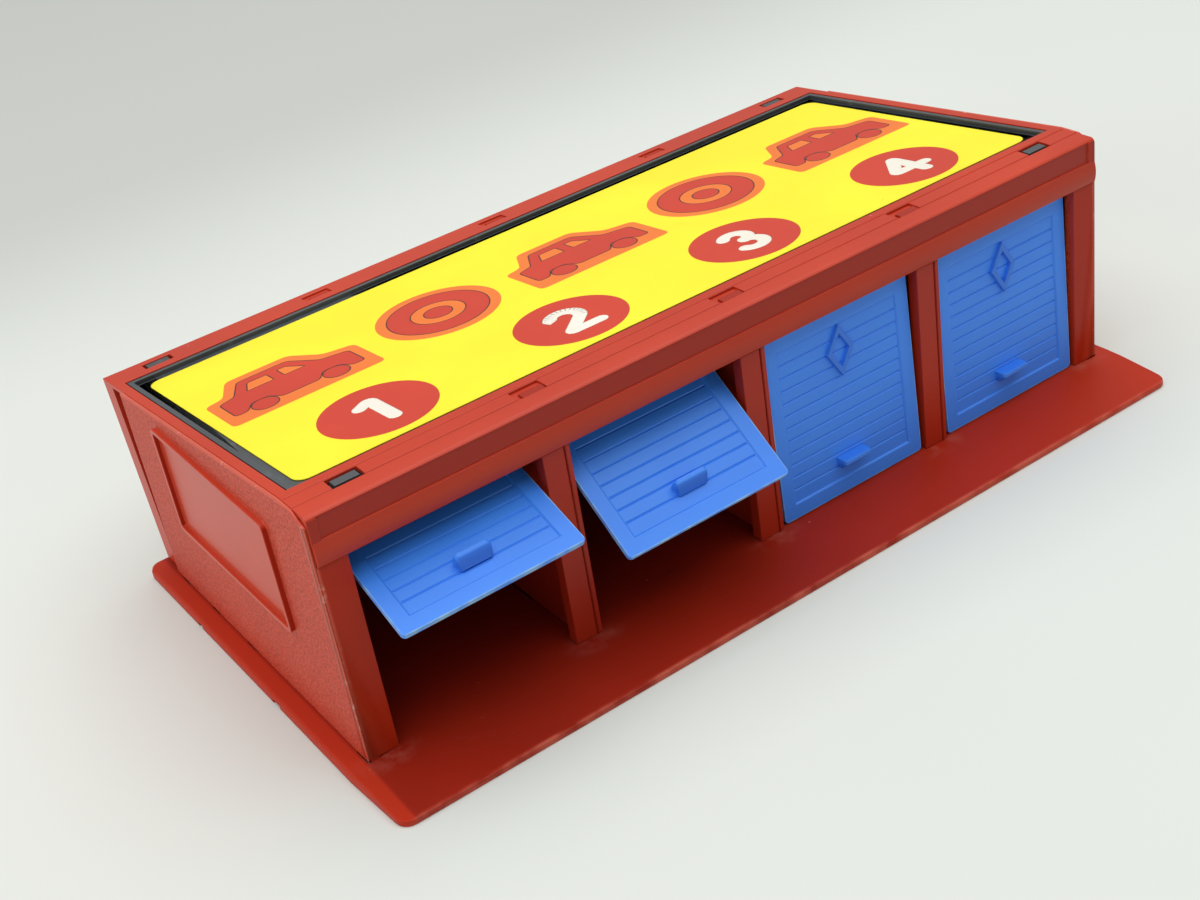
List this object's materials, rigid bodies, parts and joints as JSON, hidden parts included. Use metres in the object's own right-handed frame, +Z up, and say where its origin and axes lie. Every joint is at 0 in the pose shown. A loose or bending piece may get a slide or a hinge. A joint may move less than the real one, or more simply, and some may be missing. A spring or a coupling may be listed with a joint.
{
  "type": "toy parking garage",
  "caption": "Row of toy garages in moulded plastic with a sloping framed roof, a printed roof label and up-and-over doors that tilt on stub pins.",
  "frame": {"origin": "middle of the bounding box's underside, on the surface that the base plate stands on", "axes": "+X along the row of bays to the right seen from the front, +Y from the doors to the back wall, +Z up"},
  "size_m": [0.2188, 0.125, 0.0608],
  "materials": {
    "red_plastic": "moulded, semi-gloss",
    "red_grained_plastic": "moulded, fine stipple grain",
    "black_plastic": "moulded, semi-gloss",
    "printed_label": "printed, glossy",
    "blue_plastic": "moulded, semi-gloss"
  },
  "bodies": {
    "garage": {"base_plate": "red_plastic", "left_end_wall": "red_grained_plastic", "right_end_wall": "red_grained_plastic", "partition_1": "red_plastic", "partition_2": "red_plastic", "partition_3": "red_plastic", "roof_and_back_shell": "red_plastic", "roof_panel": "black_plastic", "roof_label": "printed_label"},
    "first_door": {"door_1": "blue_plastic"},
    "second_door": {"door_2": "blue_plastic"},
    "third_door": {"door_3": "blue_plastic"},
    "fourth_door": {"door_4": "blue_plastic"}
  },
  "joints": [
    {"name": "door_1_tilt", "type": "hinge", "parent": "garage", "child": "first_door", "pos_m": [-0.07575, -0.024, 0.0306], "axis": [-1, 0, 0], "range_deg": [-67.1, 12.9]},
    {"name": "door_2_tilt", "type": "hinge", "parent": "garage", "child": "second_door", "pos_m": [-0.02525, -0.024, 0.0306], "axis": [-1, 0, 0], "range_deg": [-51.3, 28.7]},
    {"name": "door_3_tilt", "type": "hinge", "parent": "garage", "child": "third_door", "pos_m": [0.02525, -0.024, 0.0306], "axis": [-1, 0, 0], "range_deg": [0, 80]},
    {"name": "door_4_tilt", "type": "hinge", "parent": "garage", "child": "fourth_door", "pos_m": [0.07575, -0.024, 0.0306], "axis": [-1, 0, 0], "range_deg": [0, 80]}
  ]
}
